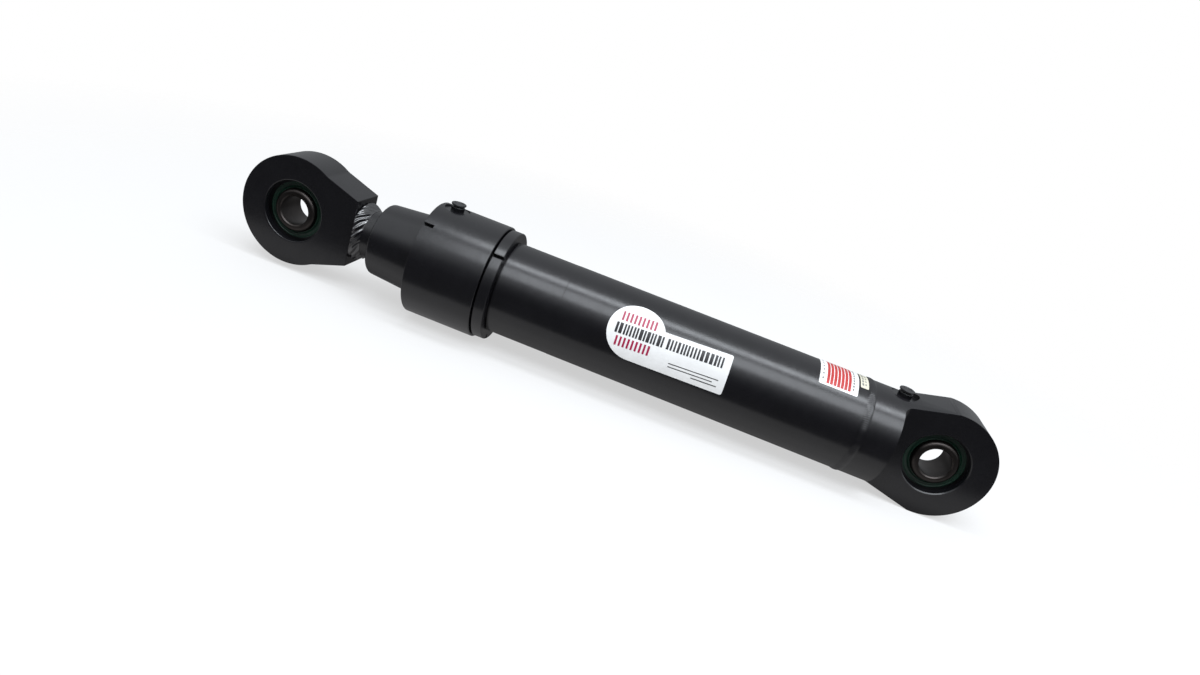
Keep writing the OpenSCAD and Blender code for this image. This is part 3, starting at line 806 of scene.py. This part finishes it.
def table():
    """Glowing card that stands in for a lit white table top, whose edge lies just in front of the cylinder.
    Only gloss sees it; its glow drops under the cylinder as a painted shadow.
    """
    mesh = bpy.data.meshes.new("table")
    rim = [(-1.9, -0.11), (0.9, -0.11), (0.9, 0.5), (-1.9, 0.5)]
    mesh.from_pydata([(x, y, -0.055 + FLOOR_SLOPE * x) for x, y in rim], [], [(0, 1, 2, 3)])
    obj = bpy.data.objects.new("table", mesh)
    bpy.context.scene.collection.objects.link(obj)
    n = Nodes("table_glow_painted_shadow")
    n.set(Base_Color=(0, 0, 0, 1), Roughness=1.0, Specular_IOR_Level=0.0)
    split = n.tree.nodes.new("ShaderNodeSeparateXYZ")
    n.link(n.place, split, "Vector")
    # Painted light: the card glows like a lit table, and its glow falls from 0.62 to 0.15 as Y goes from
    # -0.05 to -0.01, a painted shadow under the cylinder.
    mesh.materials.append(n.use(
        Emission_Color=n.colours(n.noise(3, 2), (0.3, (0.98, 0.98, 1.0)), (0.7, (1.0, 1.0, 1.0))),
        Emission_Strength=n.between(split.outputs["Y"], 0.62, 0.15, -0.05, -0.01),
    ))
    for ray in ("camera", "diffuse", "transmission", "volume_scatter", "shadow"):
        setattr(obj, "visible_" + ray, False)


def softbox(name, elevation, distance, width, length, power):
    """Long light parallel to the barrel, at an elevation in degrees above the front horizon."""
    data = bpy.data.lights.new(name, "AREA")
    data.shape, data.size, data.size_y = "RECTANGLE", length, width
    data.energy, data.color = power, (0.95, 1.0, 1.06)
    obj = bpy.data.objects.new(name, data)
    bpy.context.scene.collection.objects.link(obj)
    a = math.radians(elevation)
    obj.location = (LIGHT_X, -distance * math.cos(a), distance * math.sin(a))
    aim = Vector((LIGHT_X, 0, 0)) - obj.location
    obj.rotation_mode = "QUATERNION"
    obj.rotation_quaternion = aim.to_track_quat("-Z", "Y")
    obj.visible_camera = False


def world():
    """White to the camera; a soft room that is darker in front and below to everything else."""
    scene = bpy.context.scene
    scene.world = bpy.data.worlds.new("studio")
    scene.world.use_nodes = True
    tree = scene.world.node_tree
    tree.nodes.clear()
    new, link = tree.nodes.new, tree.links.new
    place = new("ShaderNodeTexCoord").outputs["Generated"]
    split = new("ShaderNodeSeparateXYZ")
    link(place, split.inputs[0])
    flip = new("ShaderNodeMath")
    flip.operation = "MULTIPLY"
    flip.inputs[1].default_value = -1
    link(split.outputs["Y"], flip.inputs[0])
    angle = new("ShaderNodeMath")
    angle.operation = "ARCTAN2"
    link(split.outputs["Z"], angle.inputs[0])
    link(flip.outputs[0], angle.inputs[1])
    turn = new("ShaderNodeMapRange")
    turn.inputs["From Min"].default_value = -math.pi
    turn.inputs["From Max"].default_value = math.pi
    link(angle.outputs[0], turn.inputs["Value"])
    ramp = new("ShaderNodeValToRGB")
    # Degrees above the front horizon, over the top to 180 behind, and brightness.
    stops = [
        (-180, 0.30), (-112, 0.25), (-60, 0.15), (-35, 0.10), (5, 0.07),
        (22, 0.22), (34, 0.75), (44, 1.15), (95, 1.15), (112, 0.8), (140, 0.62), (160, 0.40), (180, 0.32),
    ]
    elements = ramp.color_ramp.elements
    while len(elements) < len(stops):
        elements.new(0.5)
    for element, (degrees, value) in zip(elements, stops):
        element.position = (degrees + 180) / 360
        element.color = (0.48 * value, 0.5 * value, 0.52 * value, 1)
    link(turn.outputs["Result"], ramp.inputs["Fac"])
    room = new("ShaderNodeBackground")
    room.inputs["Strength"].default_value = 2.0
    link(ramp.outputs["Color"], room.inputs["Color"])
    white = new("ShaderNodeBackground")
    white.inputs["Color"].default_value = (1, 1, 1, 1)
    mix = new("ShaderNodeMixShader")
    link(new("ShaderNodeLightPath").outputs["Is Camera Ray"], mix.inputs[0])
    link(room.outputs[0], mix.inputs[1])
    link(white.outputs[0], mix.inputs[2])
    link(mix.outputs[0], new("ShaderNodeOutputWorld").inputs["Surface"])


def camera():
    """Looks down on the front, from a little to the base eye's side of the middle, slightly rolled."""
    data = bpy.data.cameras.new("camera")
    data.sensor_width, data.lens = 36.0, 22.48
    data.clip_start, data.clip_end = 0.05, 60
    obj = bpy.data.objects.new("camera", data)
    bpy.context.scene.collection.objects.link(obj)
    right = Vector((0.92764, 0.19783, 0.31678))
    up = Vector((-0.36648, 0.31868, 0.87415))
    back = Vector((0.07198, -0.92699, 0.36812))
    turn = Matrix((right, up, back)).transposed()
    obj.matrix_world = Matrix.Translation((-0.2891, -0.7048, 0.2666)) @ turn.to_4x4()
    bpy.context.scene.camera = obj


floor()
table()
softbox("softbox_front", 57, 2.0, 0.78, 2.6, 27.0)
softbox("softbox_top", 83, 2.0, 0.40, 2.6, 26.0)
world()
camera()
bpy.context.scene.view_settings.view_transform = "Standard"
